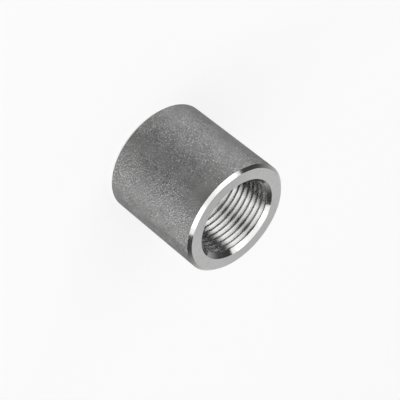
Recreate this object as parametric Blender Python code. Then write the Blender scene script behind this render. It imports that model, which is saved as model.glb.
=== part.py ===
# Threaded coupling: one turned piece of stainless steel with a parallel pipe thread right through it.
# Metres, +Z up along the bore. It stands on its lower end, with the origin at the centre of that end.

import math

import bmesh
import bpy

# Parallel pipe thread of the 1 inch size, right-handed, 11 threads to the inch
THREAD_MAJOR_DIAMETER = 0.033249
THREAD_PITCH = 0.002309
THREAD_ANGLE = math.radians(55)  # between the two flanks of a groove
THREAD_START = 0.0014            # height of a groove's middle line on the +X side

# The piece round the thread
LENGTH = 0.0438
WALL = 0.0058755                 # steel outside the thread's grooves, which makes it 45.0 mm across
EDGE_CHAMFER = 0.0012            # 45 degree chamfer round the outer edge of both ends
COUNTERSINK_MARGIN = 0.0002255   # how far the 45 degree countersinks start outside the grooves

# Fineness of the round surfaces
OUTSIDE_FACETS = 96
THREAD_FACETS = 48
SMOOTH_ANGLE = math.radians(25)
WELD_DISTANCE = 1e-6

STEEL_COLOUR = (0.36, 0.36, 0.35, 1.0)
STEEL_ROUGHNESS = 0.45


def clear_scene():
    for thing in list(bpy.data.objects):
        bpy.data.objects.remove(thing)


def steel():
    material = bpy.data.materials.new("stainless_steel")
    material.use_nodes = True
    shader = material.node_tree.nodes["Principled BSDF"]
    shader.inputs["Base Color"].default_value = STEEL_COLOUR
    shader.inputs["Metallic"].default_value = 1.0
    shader.inputs["Roughness"].default_value = STEEL_ROUGHNESS
    return material


def sharp_form_height():
    # height of the sharp V that the thread form is cut from
    return THREAD_PITCH / (2 * math.tan(THREAD_ANGLE / 2))


def major_radius():
    return THREAD_MAJOR_DIAMETER / 2


def minor_radius():
    # a sixth of the sharp V is taken off at the crest and another at the root
    return major_radius() - sharp_form_height() * 2 / 3


def swept(profile, facets, turns=1, rise=0.0):
    # An outline of (radius, height) points is carried round the Z axis, rising by `rise` in each
    # turn, and turns that meet are welded into one skin.
    mesh = bmesh.new()
    points = [mesh.verts.new((radius, 0.0, height)) for radius, height in profile]
    lines = [mesh.edges.new(pair) for pair in zip(points, points[1:])]
    bmesh.ops.spin(
        mesh,
        geom=points + lines,
        cent=(0.0, 0.0, 0.0),
        axis=(0.0, 0.0, 1.0),
        dvec=(0.0, 0.0, rise / facets),
        angle=math.tau * turns,
        steps=facets * turns,
        use_duplicate=False,
    )
    bmesh.ops.remove_doubles(mesh, verts=mesh.verts, dist=WELD_DISTANCE)
    return mesh


def close_ends(mesh):
    # Each open end is drawn to a point on the axis, level with the middle of its rim.
    rims = {"lower": [], "upper": []}
    heights = [vert.co.z for vert in mesh.verts]
    middle = (min(heights) + max(heights)) / 2
    for edge in mesh.edges:
        if edge.is_boundary:
            end = "lower" if edge.verts[0].co.z < middle else "upper"
            rims[end].append(edge)
    for rim in rims.values():
        drawn = bmesh.ops.extrude_edge_only(mesh, edges=rim)["geom"]
        tips = [item for item in drawn if isinstance(item, bmesh.types.BMVert)]
        level = sum(tip.co.z for tip in tips) / len(tips)
        bmesh.ops.pointmerge(mesh, verts=tips, merge_co=(0.0, 0.0, level))


def add_solid(name, mesh, material):
    bmesh.ops.recalc_face_normals(mesh, faces=mesh.faces)
    data = bpy.data.meshes.new(name)
    mesh.to_mesh(data)
    mesh.free()
    data.shade_smooth()
    data.set_sharp_from_angle(angle=SMOOTH_ANGLE)
    data.materials.append(material)
    solid = bpy.data.objects.new(name, data)
    bpy.context.scene.collection.objects.link(solid)
    return solid


def blank_outline():
    # Half section of the piece before threading: chamfered edges, flat ends, and a 45 degree
    # recess in each end that goes past the thread's crests.
    outside = major_radius() + WALL
    face = outside - EDGE_CHAMFER
    mouth = major_radius() + COUNTERSINK_MARGIN
    floor = minor_radius() - THREAD_PITCH
    depth = mouth - floor
    return [
        (0.0, LENGTH - depth),
        (floor, LENGTH - depth),
        (mouth, LENGTH),
        (face, LENGTH),
        (outside, LENGTH - EDGE_CHAMFER),
        (outside, EDGE_CHAMFER),
        (face, 0.0),
        (mouth, 0.0),
        (floor, depth),
        (0.0, depth),
    ]


def tap_outline(bottom):
    # One pitch of the tap, from the middle of one groove in the steel to the middle of the next:
    # flat crest, flank, flat root, flank, flat crest, with each flat a sixth of the pitch.
    crest = major_radius()
    root = minor_radius()
    flat = sharp_form_height() / 6 * math.tan(THREAD_ANGLE / 2)
    half = THREAD_PITCH / 2
    return [
        (crest, bottom - flat),
        (crest, bottom + flat),
        (root, bottom + half - flat),
        (root, bottom + half + flat),
        (crest, bottom + THREAD_PITCH - flat),
    ]


def make_tap(material):
    # The tap runs at least a whole turn past both ends of the blank.
    turns_below = 2
    turns = math.ceil(LENGTH / THREAD_PITCH) + 2 * turns_below
    bottom = THREAD_START - turns_below * THREAD_PITCH
    mesh = swept(tap_outline(bottom), THREAD_FACETS, turns, THREAD_PITCH)
    close_ends(mesh)
    tap = add_solid("tap", mesh, material)
    # Screwed round by half a facet of the blank, so that no lines of the two skins coincide.
    twist = math.pi / OUTSIDE_FACETS
    tap.rotation_euler.z = twist
    tap.location.z = THREAD_PITCH * twist / math.tau
    tap.hide_render = True
    tap.display_type = "WIRE"
    return tap


def make_coupling():
    material = steel()
    body = add_solid("coupling_body", swept(blank_outline(), OUTSIDE_FACETS), material)
    thread = body.modifiers.new("thread", "BOOLEAN")
    thread.operation = "DIFFERENCE"
    thread.solver = "EXACT"
    thread.object = make_tap(material)


clear_scene()
make_coupling()
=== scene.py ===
import math

import bmesh
import bpy
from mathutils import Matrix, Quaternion, Vector


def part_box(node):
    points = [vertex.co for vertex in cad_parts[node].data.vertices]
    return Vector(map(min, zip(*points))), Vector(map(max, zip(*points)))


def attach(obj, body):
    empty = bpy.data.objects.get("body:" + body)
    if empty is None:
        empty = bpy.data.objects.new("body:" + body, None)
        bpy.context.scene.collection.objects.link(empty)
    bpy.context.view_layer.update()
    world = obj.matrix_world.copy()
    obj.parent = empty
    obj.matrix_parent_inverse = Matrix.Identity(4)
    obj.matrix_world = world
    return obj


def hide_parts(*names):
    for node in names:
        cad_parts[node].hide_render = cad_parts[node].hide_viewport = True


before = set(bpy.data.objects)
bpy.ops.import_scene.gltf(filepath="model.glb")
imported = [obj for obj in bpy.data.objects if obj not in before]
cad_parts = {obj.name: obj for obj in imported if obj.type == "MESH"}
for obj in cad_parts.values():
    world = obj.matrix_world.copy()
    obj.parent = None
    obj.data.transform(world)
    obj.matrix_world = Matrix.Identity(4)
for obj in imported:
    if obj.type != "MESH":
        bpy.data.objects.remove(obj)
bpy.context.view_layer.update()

bodyLow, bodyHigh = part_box("coupling_body")
mm = 0.001

# The one piece: a turned coupling. Its outside comes from the frame, the rest is set here.
coupling = {
    "outerRadius": bodyHigh[0],
    "length": bodyHigh[2],
    "chamfer": 1.2 * mm,
    "mouthRadius": 16.85 * mm,          # where the 45 degree countersink meets the end
    "crestRadius": 15.145 * mm,         # thread's minor radius
    "pitch": 2.309 * mm,
    "flankAngle": math.radians(43),     # each flank against the plane across the bore
    "threadRounding": 0.25 * mm,        # of the crests and the roots
    "threadStart": 1.68 * mm,           # height of a groove's middle on the +X side
    "turnsBelow": 2,                    # turns under that groove, which the lower end cuts off
    "columns": 144,                     # facets round the piece
    "rowsPerTurn": 26,
    "rowGathering": 0.5,                # how far the rows draw together at crests and roots
    "edgeRounding": 0.12 * mm,
    "edgeSteps": 4,
    "mouthRoundingShare": 0.5,          # the mouths' edges are rounded by this share of it
    "holdingLoop": 0.05 * mm,           # ring beside a rounded edge that keeps the flat flat
    "mouthHoldingShare": 0.2,
    "boreWeld": 0.005 * mm,             # points of the bore wall nearer than this become one
    "seamWeld": 0.004 * mm,             # and so do those where it meets the outside
    "sharpAngle": math.radians(32),     # an edge that turns by more is shaded sharp
    "boreMargin": 0.036 * mm,           # faces this far inside the mouth are the bore's
    "coneTolerance": 0.001 * mm,        # how far a countersink's face may be off its cone
    "endUpright": 0.74,                 # a face whose normal rises by more than this is an end's
    "chamferUpright": 0.66,             # and by more than this, a chamfer's
}
coupling["sharpHeight"] = coupling["pitch"] / (2 * math.tan(coupling["flankAngle"]))
coupling["rootRadius"] = (
    coupling["crestRadius"] + coupling["sharpHeight"]
    - 2 * coupling["threadRounding"] * (1 / math.sin(coupling["flankAngle"]) - 1)
)


class Wire:
    # an output socket that sums and products can be written with
    def __init__(self, graph, socket):
        self.graph = graph
        self.socket = socket

    def math(self, operation, *others, swapped=False):
        values = [self, *others]
        if swapped:
            values.reverse()
        return self.graph.node("ShaderNodeMath", {"operation": operation}, dict(enumerate(values)))

    def __add__(self, other):
        return self.math("ADD", other)

    def __radd__(self, other):
        return self.math("ADD", other, swapped=True)

    def __sub__(self, other):
        return self.math("SUBTRACT", other)

    def __rsub__(self, other):
        return self.math("SUBTRACT", other, swapped=True)

    def __mul__(self, other):
        return self.math("MULTIPLY", other)

    def __rmul__(self, other):
        return self.math("MULTIPLY", other, swapped=True)

    def __truediv__(self, other):
        return self.math("DIVIDE", other)

    def __rtruediv__(self, other):
        return self.math("DIVIDE", other, swapped=True)

    def __lt__(self, other):
        return self.math("LESS_THAN", other)

    def out(self, name):
        # another output of the same node
        return Wire(self.graph, self.socket.node.outputs[name])


class Graph:
    # one node tree, shader or geometry
    def __init__(self, tree):
        self.tree = tree

    def node(self, kind, settings=None, inputs=None):
        made = self.tree.nodes.new(kind)
        for name, value in (settings or {}).items():
            if name == "stops":
                self.setStops(made.color_ramp, value)
            else:
                setattr(made, name, value)
        for name, value in (inputs or {}).items():
            socket = self.entry(made, name)
            if isinstance(value, Wire):
                self.tree.links.new(value.socket, socket)
            else:
                socket.default_value = value
        live = [socket for socket in made.outputs if socket.enabled]
        return Wire(self, live[0]) if live else made

    def entry(self, made, name):
        # input by its number, or the live one of that name
        if isinstance(name, int):
            return made.inputs[name]
        return next(socket for socket in made.inputs if socket.enabled and socket.name == name)

    def setStops(self, ramp, stops):
        while len(ramp.elements) < len(stops):
            ramp.elements.new(1.0)
        for element, (place, colour) in zip(ramp.elements, stops):
            element.position = place
            element.color = colour

    def split(self, vector):
        parts = self.node("ShaderNodeSeparateXYZ", {}, {0: vector})
        return [parts.out(axis) for axis in "XYZ"]


def grey(level, warmth=0.0):
    return (level * (1 + warmth), level, level * (1 - warmth), 1.0)


def greys(stops):
    return [(place, grey(level)) for place, level in stops]


print("frame loaded")


# The bore wall: rows of points that follow the helix, given the thread's form and then cut off by
# the countersinks and the two ends.
def threadTree():
    tree = bpy.data.node_groups.new("threadedBore", "GeometryNodeTree")
    addSocket = tree.interface.new_socket
    addSocket(name="Geometry", in_out="OUTPUT", socket_type="NodeSocketGeometry")
    addSocket(name="Geometry", in_out="INPUT", socket_type="NodeSocketGeometry")
    for name in ("Pitch", "Major Radius", "Minor Radius", "Rounding", "Flank Slope", "Start",
                 "Length", "Mouth Radius", "Rim Depth", "Row Gathering", "Weld Distance"):
        addSocket(name=name, in_out="INPUT", socket_type="NodeSocketFloat")
    for name in ("Columns", "Rows Per Turn", "Turns", "Turns Below"):
        addSocket(name=name, in_out="INPUT", socket_type="NodeSocketInt")
    addSocket(name="Material", in_out="INPUT", socket_type="NodeSocketMaterial")

    graph = Graph(tree)
    entry = graph.node("NodeGroupInput")
    pitch, major, minor = entry.out("Pitch"), entry.out("Major Radius"), entry.out("Minor Radius")
    rounding, slope = entry.out("Rounding"), entry.out("Flank Slope")
    length, rim = entry.out("Length"), entry.out("Rim Depth")
    turns = entry.out("Turns")

    grid = graph.node("GeometryNodeMeshGrid", {}, {
        "Size X": 1.0, "Size Y": 1.0,
        "Vertices X": entry.out("Columns") + 1,
        "Vertices Y": turns * entry.out("Rows Per Turn") + 1,
    })
    across, along, _ = graph.split(graph.node("GeometryNodeInputPosition"))
    turn = across + 0.5
    row = (along + 0.5) * turns
    level = row - entry.out("Row Gathering") * (row * 2 * math.tau).math("SINE") / (2 * math.tau)

    # thread form: s is the distance from the groove's middle, up to half a pitch at the crest
    s = (0.5 - (level.math("FRACT") - 0.5).math("ABSOLUTE")) * pitch
    fromCrest = pitch / 2 - s
    flank = (major + minor) / 2 + (pitch / 4 - s) / slope
    tangent = rounding / (slope * slope + 1).math("SQRT")
    rootArc = major - rounding + (rounding * rounding - s * s).math("MAXIMUM", 0.0).math("SQRT")
    crestArc = (
        minor + rounding
        - (rounding * rounding - fromCrest * fromCrest).math("MAXIMUM", 0.0).math("SQRT")
    )
    form = flank + (s < tangent) * (rootArc - flank) + (fromCrest < tangent) * (crestArc - flank)

    height = entry.out("Start") + (level - entry.out("Turns Below") + turn) * pitch
    height = height.math("MAXIMUM", rim).math("MINIMUM", length - rim)
    cone = entry.out("Mouth Radius") - height.math("MINIMUM", length - height)
    radius = form.math("MAXIMUM", cone)
    angle = turn * math.tau
    place = graph.node("ShaderNodeCombineXYZ", {}, {
        "X": radius * angle.math("COSINE"), "Y": radius * angle.math("SINE"), "Z": height,
    })
    wall = graph.node("GeometryNodeSetPosition", {}, {"Geometry": grid, "Position": place})
    wall = graph.node("GeometryNodeMergeByDistance", {}, {
        "Geometry": wall, "Distance": entry.out("Weld Distance"),
    })
    wall = graph.node("GeometryNodeRealizeInstances", {}, {"Geometry": wall})
    wall = graph.node("GeometryNodeSetMaterial", {}, {
        "Geometry": wall, "Material": entry.out("Material"),
    })
    graph.node("NodeGroupOutput", {}, {0: wall})
    return tree


def makeBore(material):
    sizes = coupling
    turnsAcross = math.ceil(sizes["length"] / sizes["pitch"])
    values = {
        "Pitch": sizes["pitch"],
        "Major Radius": sizes["rootRadius"],
        "Minor Radius": sizes["crestRadius"],
        "Rounding": sizes["threadRounding"],
        "Flank Slope": math.tan(sizes["flankAngle"]),
        "Start": sizes["threadStart"],
        "Length": sizes["length"],
        "Mouth Radius": sizes["mouthRadius"],
        "Rim Depth": sizes["edgeRounding"],
        "Row Gathering": sizes["rowGathering"],
        "Weld Distance": sizes["boreWeld"],
        "Columns": sizes["columns"],
        "Rows Per Turn": sizes["rowsPerTurn"],
        "Turns": turnsAcross + 2 * sizes["turnsBelow"],
        "Turns Below": sizes["turnsBelow"],
        "Material": material,
    }
    blank = bpy.data.objects.new("bore", bpy.data.meshes.new("bore"))
    bpy.context.scene.collection.objects.link(blank)
    modifier = blank.modifiers.new("thread", "NODES")
    modifier.node_group = threadTree()
    for socket in modifier.node_group.interface.items_tree:
        if socket.in_out == "INPUT" and socket.name in values:
            modifier[socket.identifier] = values[socket.name]
    evaluated = blank.evaluated_get(bpy.context.evaluated_depsgraph_get())
    mesh = bpy.data.meshes.new_from_object(evaluated)
    blank.modifiers.remove(modifier)
    bpy.data.objects.remove(blank)
    return mesh


def roundedCorner(before, corner, after, rounding, hold):
    # points of a corner rounded off, with a holding point on both sides
    inward = (Vector(before) - Vector(corner)).normalized()
    onward = (Vector(after) - Vector(corner)).normalized()
    half = inward.angle(onward) / 2
    reach = rounding / math.tan(half)
    centre = Vector(corner) + (inward + onward).normalized() * rounding / math.sin(half)
    first = Vector(corner) + inward * reach
    last = Vector(corner) + onward * reach
    points = [first + inward * hold]
    steps = coupling["edgeSteps"]
    for step in range(steps + 1):
        share = step / steps
        arm = (first - centre).slerp(last - centre, share).normalized() * rounding
        points.append(centre + arm)
    points.append(last + onward * hold)
    return points


def outsideOutline():
    # from the upper countersink over the end, down the outside and into the lower countersink
    sizes = coupling
    top, rim = sizes["length"], sizes["edgeRounding"]
    outer, mouth = sizes["outerRadius"], sizes["mouthRadius"]
    face = outer - sizes["chamfer"]
    shoulder = sizes["chamfer"]
    corners = [
        (mouth - rim, top - rim), (mouth, top), (face, top), (outer, top - shoulder),
        (outer, shoulder), (face, 0.0), (mouth, 0.0), (mouth - rim, rim),
    ]
    points = [Vector(corners[0])]
    for before, corner, after in zip(corners, corners[1:], corners[2:]):
        atMouth = corner[0] == mouth
        rounding = rim * (sizes["mouthRoundingShare"] if atMouth else 1.0)
        hold = sizes["holdingLoop"] * (sizes["mouthHoldingShare"] if atMouth else 1.0)
        points += roundedCorner(before, corner, after, rounding, hold)
    points.append(Vector(corners[-1]))
    return points


def makeOutside():
    mesh = bmesh.new()
    points = [mesh.verts.new((point[0], 0.0, point[1])) for point in outsideOutline()]
    lines = [mesh.edges.new(pair) for pair in zip(points, points[1:])]
    bmesh.ops.spin(mesh, geom=points + lines, cent=(0, 0, 0), axis=(0, 0, 1),
                   angle=math.tau, steps=coupling["columns"], use_duplicate=False)
    return mesh


# the finishes, in the order of the materials; the countersinks have the chamfers'
threadZone, outsideZone, chamferZone, endZone = range(4)


def zoneOf(face):
    middle = face.calc_center_median()
    radius = math.hypot(middle.x, middle.y)
    depth = min(middle.z, coupling["length"] - middle.z)
    if radius < coupling["mouthRadius"] - coupling["boreMargin"]:
        cone = coupling["mouthRadius"] - depth
        return threadZone if radius > cone + coupling["coneTolerance"] else chamferZone
    upright = abs(face.normal.z)
    if upright > coupling["endUpright"]:
        return endZone
    return chamferZone if upright > coupling["chamferUpright"] else outsideZone


def makeCoupling(materials):
    mesh = makeOutside()
    mesh.from_mesh(makeBore(materials[threadZone]))
    bmesh.ops.remove_doubles(mesh, verts=mesh.verts, dist=coupling["seamWeld"])
    bmesh.ops.recalc_face_normals(mesh, faces=mesh.faces)
    loose = [edge for edge in mesh.edges if len(edge.link_faces) != 2]
    print("coupling:", len(mesh.faces), "faces,", len(loose), "open edges")
    for face in mesh.faces:
        face.smooth = True
        face.material_index = zoneOf(face)
    for edge in mesh.edges:
        zones = {face.material_index for face in edge.link_faces}
        atRunOut = zones == {threadZone, chamferZone}
        edge.smooth = not atRunOut and edge.calc_face_angle(0.0) < coupling["sharpAngle"]
    data = bpy.data.meshes.new("coupling")
    mesh.to_mesh(data)
    mesh.free()
    for material in materials:
        data.materials.append(material)
    piece = bpy.data.objects.new("coupling", data)
    bpy.context.scene.collection.objects.link(piece)
    return piece


# The blasted outside: fine grain with bright specks, stronger in some patches than in others, on
# soft blotches.
outside = {
    "dark": 0.08,
    "light": 0.30,
    "warmth": 0.01,             # of the light colour
    "tone": 0.37,               # from dark to light, on the whole
    "roughness": 0.5,
    "edgeTint": 0.65,           # of what it mirrors at a grazing angle
    "grainSize": 0.5 * mm,
    "grainDepth": 0.25 * mm,
    "grainContrast": 1.2,
    "speckSize": 0.5 * mm,
    "speckFrom": 0.62,          # only noise above this makes a speck
    "speckContrast": 2.4,
    "blotchSize": 4 * mm,
    "blotchContrast": 0.4,
    "blotchRoughness": 0.2,
    "patchSize": 14 * mm,
    "patchContrast": 3.0,
    "patchMean": 0.9,           # times the grain, halfway between a strong and a weak patch
    "patchOffset": (150 * mm, 0.0, 0.0),    # moves the patches round the coupling
}

# The turned surfaces: rings that the tool left, and soft clouds.
turned = {
    "ringSpacing": 0.3 * mm,
    "ringShare": 0.4,           # of the change in colour
    "ringRoughness": 0.06,
    "cloudSize": 2 * mm,
    "cloudShare": 0.6,
    "cloudRoughness": 0.1,
    "darker": 0.92,             # times the colour, where rings and clouds are darkest
    "lighter": 1.06,
    "warmth": 0.01,             # of the lighter places
    "stops": (0.3, 0.7),        # levels of the noise for those two
    "spreadTurn": 0.25,         # turns the spread of light across the rings
}

# colour, roughness, spread of light and depth of the rings of each turned surface
turnedFinishes = {
    "cutThread": (0.49, 0.26, 0.85, 0.001 * mm),
    "turnedChamfer": (0.62, 0.12, 0.8, 0.001 * mm),
    "facedEnd": (0.6, 0.3, 0.8, 0.002 * mm),
}


def newMaterial(name):
    material = bpy.data.materials.new(name)
    material.use_nodes = True
    material.node_tree.nodes.clear()
    return material, Graph(material.node_tree)


def finishMaterial(graph, inputs):
    shader = graph.node("ShaderNodeBsdfPrincipled", {}, inputs)
    graph.node("ShaderNodeOutputMaterial", {}, {"Surface": shader})


def noise(graph, place, size, detail, roughness=0.5):
    return graph.node("ShaderNodeTexNoise", {}, {
        "Vector": place, "Scale": 1 / size, "Detail": detail, "Roughness": roughness,
    })


def varied(wire, contrast):
    # noise, made to vary about zero
    return (wire - 0.5) * contrast


def objectPlace(graph):
    return graph.node("ShaderNodeTexCoord").out("Object")


def surfaceBump(graph, depth, height):
    return graph.node("ShaderNodeBump", {}, {
        "Strength": 1.0, "Distance": depth, "Height": height,
    })


def blastedOutside():
    material, graph = newMaterial("blastedOutside")
    place = objectPlace(graph)
    grain = noise(graph, place, outside["grainSize"], detail=2.0, roughness=0.6)
    blotch = noise(graph, place, outside["blotchSize"], detail=3.0)
    peak = noise(graph, place, outside["speckSize"], detail=0.0)
    speck = (peak - outside["speckFrom"]).math("MAXIMUM", 0.0)
    moved = graph.node("ShaderNodeVectorMath", {"operation": "ADD"}, {
        0: place, 1: outside["patchOffset"],
    })
    patch = noise(graph, moved, outside["patchSize"], detail=1.0)
    strength = varied(patch, outside["patchContrast"]) + outside["patchMean"]
    fine = varied(grain, outside["grainContrast"]) + speck * outside["speckContrast"]
    tone = fine * strength + varied(blotch, outside["blotchContrast"]) + outside["tone"]
    colour = graph.node("ShaderNodeValToRGB", {"stops": [
        (0.0, grey(outside["dark"])), (1.0, grey(outside["light"], outside["warmth"])),
    ]}, {"Fac": tone})
    finishMaterial(graph, {
        "Base Color": colour, "Metallic": 1.0,
        "Roughness": outside["roughness"] + varied(blotch, outside["blotchRoughness"]),
        "Specular Tint": grey(outside["edgeTint"]),
        "Normal": surfaceBump(graph, outside["grainDepth"], grain),
    })
    return material


def turnedSteel(name):
    # The tool's rings run round the axis, and light spreads across them.
    shade, roughness, spread, ringDepth = turnedFinishes[name]
    material, graph = newMaterial(name)
    place = objectPlace(graph)
    x, y, _ = graph.split(place)
    radius = (x * x + y * y).math("SQRT")
    ring = graph.node("ShaderNodeTexNoise", {"noise_dimensions": "1D"}, {
        "W": radius, "Scale": 1 / turned["ringSpacing"], "Detail": 3.0,
    })
    cloud = noise(graph, place, turned["cloudSize"], detail=3.0)
    darkStop, lightStop = turned["stops"]
    colour = graph.node("ShaderNodeValToRGB", {"stops": [
        (darkStop, grey(shade * turned["darker"])),
        (lightStop, grey(shade * turned["lighter"], turned["warmth"])),
    ]}, {"Fac": cloud * turned["cloudShare"] + ring * turned["ringShare"]})
    unevenness = varied(cloud, turned["cloudRoughness"]) + varied(ring, turned["ringRoughness"])
    finishMaterial(graph, {
        "Base Color": colour, "Metallic": 1.0,
        "Roughness": roughness + unevenness,
        "Anisotropic": spread, "Anisotropic Rotation": turned["spreadTurn"],
        "Normal": surfaceBump(graph, ringDepth, ring),
    })
    return material


materials = [
    turnedSteel("cutThread"),
    blastedOutside(),
    turnedSteel("turnedChamfer"),
    turnedSteel("facedEnd"),
]
piece = makeCoupling(materials)
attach(piece, "root")
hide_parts("coupling_body")
print("coupling made")


studio = {
    "floorColour": 0.9,
    "paper": 0.97,              # how bright the floor and the sky look
    "paperShare": 0.8,          # the rest is the floor as it is lit, with the shadow on it
    # painted glow on the floor, which only metal sees: how bright metal mirrors it, by its
    # distance from the middle, brightest near the coupling
    "paintedFloorGlow": ((0.02, 0.97), (0.09, 0.7), (0.3, 0.54)),
    # how bright it mirrors the sky, by the sine of its height
    "mirroredSky": ((0.0, 0.52), (0.15, 0.38), (0.29, 0.23), (0.42, 0.06)),
    "floorRadius": 1.3,
    "floorFacets": 128,
    "wallBend": 0.35,           # radius of the curve up into the wall
    "wallHeight": 0.12,
    "bendSteps": 12,
    "weldDistance": 0.01 * mm,
}

# place, width, depth and brightness of each soft panel; all of them face the coupling
panels = {
    "overhead": ((0.03, -0.24, 0.971), 2.24, 0.82, 1.4),
    "back": ((0, 0.83, 0.54), 1.4, 0.76, 0.68),
    "left": ((-1.13, -0.4, 0.055), 0.6, 0.09, 85),
    "right": ((1.13, -0.4, 0.055), 0.6, 0.09, 108),
    "frontLeft": ((-0.8, -0.88, 0.8), 1.15, 1.14, 1.4),
    "frontRight": ((0.8, -0.88, 0.8), 1.15, 1.14, 1.4),
    "sideLeft": ((-0.65, 0.59, 0.84), 0.42, 0.32, 1.7),
    "sideRight": ((0.65, 0.59, 0.84), 0.42, 0.32, 1.7),
}


def makeFloor():
    # round floor with a low wall that it curves up into
    mesh = bmesh.new()
    radius, bend = studio["floorRadius"], studio["wallBend"]
    outline = [(0.0, 0.0), (radius, 0.0)]
    for step in range(1, studio["bendSteps"] + 1):
        turn = math.pi / 2 * step / studio["bendSteps"]
        outline.append((radius + bend * math.sin(turn), bend * (1 - math.cos(turn))))
    outline = [point for point in outline if point[1] <= studio["wallHeight"]]
    points = [mesh.verts.new((across, 0.0, height)) for across, height in outline]
    lines = [mesh.edges.new(pair) for pair in zip(points, points[1:])]
    bmesh.ops.spin(mesh, geom=points + lines, cent=(0, 0, 0), axis=(0, 0, 1),
                   angle=math.tau, steps=studio["floorFacets"], use_duplicate=False)
    bmesh.ops.remove_doubles(mesh, verts=mesh.verts, dist=studio["weldDistance"])
    bmesh.ops.recalc_face_normals(mesh, faces=mesh.faces)
    if mesh.faces[0].normal.z < 0:
        bmesh.ops.reverse_faces(mesh, faces=mesh.faces)
    for face in mesh.faces:
        face.smooth = True
    data = bpy.data.meshes.new("floor")
    mesh.to_mesh(data)
    mesh.free()
    data.materials.append(paleFloor())
    floor = bpy.data.objects.new("floor", data)
    bpy.context.scene.collection.objects.link(floor)


def paleFloor():
    # White paper. The camera sees it near white; metal sees it glow with a painted pool of light,
    # brightest near the coupling; and a share of the light that falls on it keeps the shadow. Far
    # off the camera sees plain paper, which runs into the sky.
    material, graph = newMaterial("paleFloor")
    rays = graph.node("ShaderNodeLightPath")
    toCamera = rays.out("Is Camera Ray")
    seen = toCamera.math("MAXIMUM", rays.out("Is Glossy Ray"))
    seen = seen.math("MAXIMUM", rays.out("Is Transmission Ray"))
    lit = graph.node("ShaderNodeBsdfDiffuse", {}, {"Color": grey(studio["floorColour"])})
    x, y, _ = graph.split(objectPlace(graph))
    distance = (x * x + y * y).math("SQRT")
    # painted pool of light: to metal the floor glows, the brighter the nearer to the coupling; to
    # the camera it is plain paper
    mirrored = graph.node("ShaderNodeValToRGB", {"stops": greys(studio["paintedFloorGlow"])}, {
        "Fac": distance,
    })
    paper = graph.node("ShaderNodeMix", {"data_type": "RGBA"}, {
        "Factor": toCamera, "A": mirrored, "B": grey(studio["paper"]),
    })
    floorGlow = graph.node("ShaderNodeEmission", {}, {"Color": paper})
    fade = (distance / studio["floorRadius"]).math("MINIMUM", 1.0) * toCamera
    share = studio["paperShare"] + (1 - studio["paperShare"]) * fade
    mixed = graph.node("ShaderNodeMixShader", {}, {0: seen * share, 1: lit, 2: floorGlow})
    graph.node("ShaderNodeOutputMaterial", {}, {"Surface": mixed})
    return material


def makePanel(name, place, width, depth, radiance):
    light = bpy.data.lights.new(name, "AREA")
    light.shape = "RECTANGLE"
    light.size = width
    light.size_y = depth
    light.energy = radiance * math.pi * width * depth
    panel = bpy.data.objects.new(name, light)
    panel.location = place
    panel.rotation_mode = "QUATERNION"
    panel.rotation_quaternion = (-Vector(place)).to_track_quat("-Z", "Y")
    bpy.context.scene.collection.objects.link(panel)


def makeWorld():
    # Plain paper to the camera. The metal mirrors it pale at the horizon and dark above.
    world = bpy.data.worlds.new("studio")
    world.use_nodes = True
    world.node_tree.nodes.clear()
    graph = Graph(world.node_tree)
    _, _, height = graph.split(graph.node("ShaderNodeTexCoord").out("Generated"))
    mirrored = graph.node("ShaderNodeValToRGB", {"stops": greys(studio["mirroredSky"])}, {
        "Fac": height,
    })
    seen = graph.node("ShaderNodeMix", {"data_type": "RGBA"}, {
        "Factor": graph.node("ShaderNodeLightPath").out("Is Camera Ray"),
        "A": mirrored, "B": grey(studio["paper"]),
    })
    sky = graph.node("ShaderNodeBackground", {}, {"Color": seen})
    graph.node("ShaderNodeOutputWorld", {}, {"Surface": sky})
    bpy.context.scene.world = world


makeFloor()
for name, (place, width, depth, radiance) in panels.items():
    makePanel(name, place, width, depth, radiance)
makeWorld()
bpy.context.scene.view_settings.view_transform = "Standard"
print("studio made")


# as fitted to the photograph
view = {
    "place": (0.0, -487.5 * mm, 330.9 * mm),
    "aim": (2.89 * mm, 0.0, 26.6 * mm),
    "roll": math.radians(128.8),
    "lens": 143.78,             # and the sensor's width, as plain millimetres
    "sensor": 36.0,
}


def makeCamera():
    camera = bpy.data.objects.new("camera", bpy.data.cameras.new("camera"))
    camera.data.lens = view["lens"]
    camera.data.sensor_width = view["sensor"]
    camera.location = view["place"]
    camera.rotation_mode = "QUATERNION"
    aimed = (Vector(view["aim"]) - camera.location).to_track_quat("-Z", "Y")
    camera.rotation_quaternion = aimed @ Quaternion((0, 0, 1), view["roll"])
    bpy.context.scene.collection.objects.link(camera)
    bpy.context.scene.camera = camera


makeCamera()
print("camera made")
